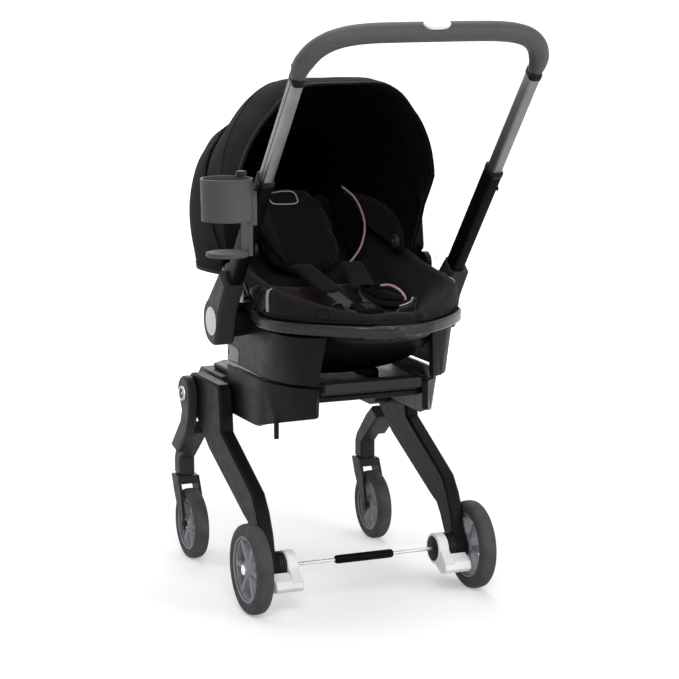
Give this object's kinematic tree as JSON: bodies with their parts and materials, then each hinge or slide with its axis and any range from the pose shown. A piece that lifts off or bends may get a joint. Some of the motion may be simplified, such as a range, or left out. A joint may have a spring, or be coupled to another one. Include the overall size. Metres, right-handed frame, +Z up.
{
  "type": "travel system stroller",
  "caption": "Infant carrier on a folding wheeled base, with a telescoping swing-over push handle, folding canopy, harness, cup holder and swivel front wheels.",
  "frame": {"origin": "on the floor, under the middle of the object's box", "axes": "+Y is the direction away from the person at the push handle, +Z up, +X to that person's right"},
  "size_m": [0.526, 0.7955, 0.986],
  "materials": {
    "black_plastic": "fine-grained moulded plastic",
    "grey_plastic": "fine-grained moulded plastic",
    "leg_plastic": "satin moulded plastic",
    "rim_plastic": "satin moulded plastic",
    "white_plastic": "semi-gloss moulded plastic",
    "tyre_rubber": "smooth foam-filled tyre",
    "sleeve_rubber": "smooth rubber sleeve",
    "grey_aluminium": "anodised, satin",
    "bright_steel": "plated, bright",
    "grip_leather": "fine-grained leatherette",
    "cover_fabric": "padded knit cover",
    "insert_fabric": "heathered knit",
    "canopy_fabric": "woven polyester",
    "webbing": "woven webbing"
  },
  "bodies": {
    "carrier": {"seat_shell": "black_plastic", "seat_liner": "cover_fabric", "head_support": "cover_fabric", "head_wing_left": "cover_fabric", "head_wing_right": "cover_fabric", "insert_bolster_left": "insert_fabric", "insert_bolster_right": "insert_fabric", "shoulder_strap_left": "webbing", "shoulder_strap_right": "webbing", "crotch_strap": "webbing", "harness_buckle": "black_plastic", "shell_skirt_left": "black_plastic", "shell_skirt_right": "black_plastic", "base_panel_left": "black_plastic", "base_panel_right": "black_plastic", "base_tray": "black_plastic", "base_crossbar": "black_plastic", "leg_housing_left": "leg_plastic", "leg_housing_right": "leg_plastic", "leg_pivot_left": "bright_steel", "leg_pivot_right": "bright_steel", "canopy_hinge_left": "black_plastic", "canopy_hinge_right": "black_plastic", "canopy_rear": "canopy_fabric"},
    "buckle_button_body": {"buckle_button": "grey_plastic"},
    "canopy_middle_body": {"canopy_middle": "canopy_fabric"},
    "canopy_front_body": {"canopy_front": "canopy_fabric"},
    "handle_lower": {"handle_hub_left": "grey_plastic", "handle_hub_right": "grey_plastic", "outer_tube_left": "black_plastic", "outer_tube_right": "black_plastic", "cup_holder": "grey_plastic"},
    "hub_button_body_left": {"hub_button_left": "white_plastic"},
    "hub_button_body_right": {"hub_button_right": "white_plastic"},
    "handle_upper": {"handle_grip": "grip_leather", "inner_tube_left": "grey_aluminium", "inner_tube_right": "grey_aluminium"},
    "grip_button_body": {"grip_button": "white_plastic"},
    "rear_legs": {"rear_leg_left": "leg_plastic", "rear_leg_right": "leg_plastic", "rear_axle_left": "bright_steel", "rear_axle_right": "bright_steel"},
    "brake": {"brake_link_rod": "bright_steel", "brake_link_sleeve": "sleeve_rubber", "brake_pedal_left": "white_plastic", "brake_pedal_right": "white_plastic"},
    "rear_wheel_body_left": {"rear_left_tyre": "tyre_rubber", "rear_left_rim": "rim_plastic"},
    "rear_wheel_body_right": {"rear_right_tyre": "tyre_rubber", "rear_right_rim": "rim_plastic"},
    "front_legs": {"front_leg_left": "leg_plastic", "front_leg_right": "leg_plastic"},
    "caster_body_left": {"caster_fork_left": "black_plastic"},
    "caster_body_right": {"caster_fork_right": "black_plastic"},
    "front_wheel_body_left": {"front_left_tyre": "tyre_rubber", "front_left_rim": "rim_plastic"},
    "front_wheel_body_right": {"front_right_tyre": "tyre_rubber", "front_right_rim": "rim_plastic"}
  },
  "joints": [
    {"name": "handle_tilt", "type": "hinge", "parent": "carrier", "child": "handle_lower", "pos_m": [0.0385, 0.0148, 0.474], "axis": [1, 0, 0], "range_deg": [-125, 0]},
    {"name": "handle_extend", "type": "slide", "parent": "handle_lower", "child": "handle_upper", "axis": [0, -0.6331, 0.7741], "range_m": [-0.17, 0]},
    {"name": "grip_button_press", "type": "slide", "parent": "handle_upper", "child": "grip_button_body", "axis": [0, 0.6331, -0.7741], "range_m": [0, 0.003], "stiffness_N_per_m": 250, "springref_m": -0.004},
    {"name": "hub_button_press_left", "type": "slide", "parent": "handle_lower", "child": "hub_button_body_left", "axis": [1, 0, 0], "range_m": [0, 0.003], "stiffness_N_per_m": 250, "springref_m": -0.004},
    {"name": "hub_button_press_right", "type": "slide", "parent": "handle_lower", "child": "hub_button_body_right", "axis": [-1, 0, 0], "range_m": [0, 0.003], "stiffness_N_per_m": 250, "springref_m": -0.004},
    {"name": "buckle_button_press", "type": "slide", "parent": "carrier", "child": "buckle_button_body", "axis": [0, 0, -1], "range_m": [0, 0.003], "stiffness_N_per_m": 250, "springref_m": -0.004},
    {"name": "canopy_middle_fold", "type": "hinge", "parent": "carrier", "child": "canopy_middle_body", "pos_m": [0.0385, 0.0348, 0.548], "axis": [1, 0, 0], "range_deg": [-25, 0]},
    {"name": "canopy_front_fold", "type": "hinge", "parent": "canopy_middle_body", "child": "canopy_front_body", "pos_m": [0.0385, 0.0348, 0.548], "axis": [1, 0, 0], "range_deg": [-25, 0]},
    {"name": "rear_leg_fold", "type": "hinge", "parent": "carrier", "child": "rear_legs", "pos_m": [0.0385, 0.2148, 0.312], "axis": [1, 0, 0], "range_deg": [-40, 0]},
    {"name": "front_leg_fold", "type": "hinge", "parent": "carrier", "child": "front_legs", "pos_m": [0.0385, 0.2148, 0.312], "axis": [1, 0, 0], "range_deg": [0, 88]},
    {"name": "brake_press", "type": "hinge", "parent": "rear_legs", "child": "brake", "pos_m": [0.0385, -0.1152, 0.076], "axis": [1, 0, 0], "range_deg": [0, 20]},
    {"name": "rear_wheel_spin_left", "type": "hinge", "parent": "rear_legs", "child": "rear_wheel_body_left", "pos_m": [-0.1642, -0.1152, 0.076], "axis": [1, 0, 0], "continuous": true},
    {"name": "rear_wheel_spin_right", "type": "hinge", "parent": "rear_legs", "child": "rear_wheel_body_right", "pos_m": [0.2412, -0.1152, 0.076], "axis": [1, 0, 0], "continuous": true},
    {"name": "caster_swivel_left", "type": "hinge", "parent": "front_legs", "child": "caster_body_left", "pos_m": [-0.14, 0.2898, 0.1466], "axis": [0, 0, 1], "continuous": true},
    {"name": "caster_swivel_right", "type": "hinge", "parent": "front_legs", "child": "caster_body_right", "pos_m": [0.217, 0.2898, 0.1466], "axis": [0, 0, 1], "continuous": true},
    {"name": "front_wheel_spin_left", "type": "hinge", "parent": "caster_body_left", "child": "front_wheel_body_left", "pos_m": [-0.14, 0.2528, 0.0635], "axis": [1, 0, 0], "continuous": true},
    {"name": "front_wheel_spin_right", "type": "hinge", "parent": "caster_body_right", "child": "front_wheel_body_right", "pos_m": [0.217, 0.2528, 0.0635], "axis": [1, 0, 0], "continuous": true}
  ],
  "couplings": [
    {"joint": "front_leg_fold", "follows": "rear_leg_fold", "ratio": -2.2},
    {"joint": "canopy_front_fold", "follows": "canopy_middle_fold", "ratio": 1}
  ]
}
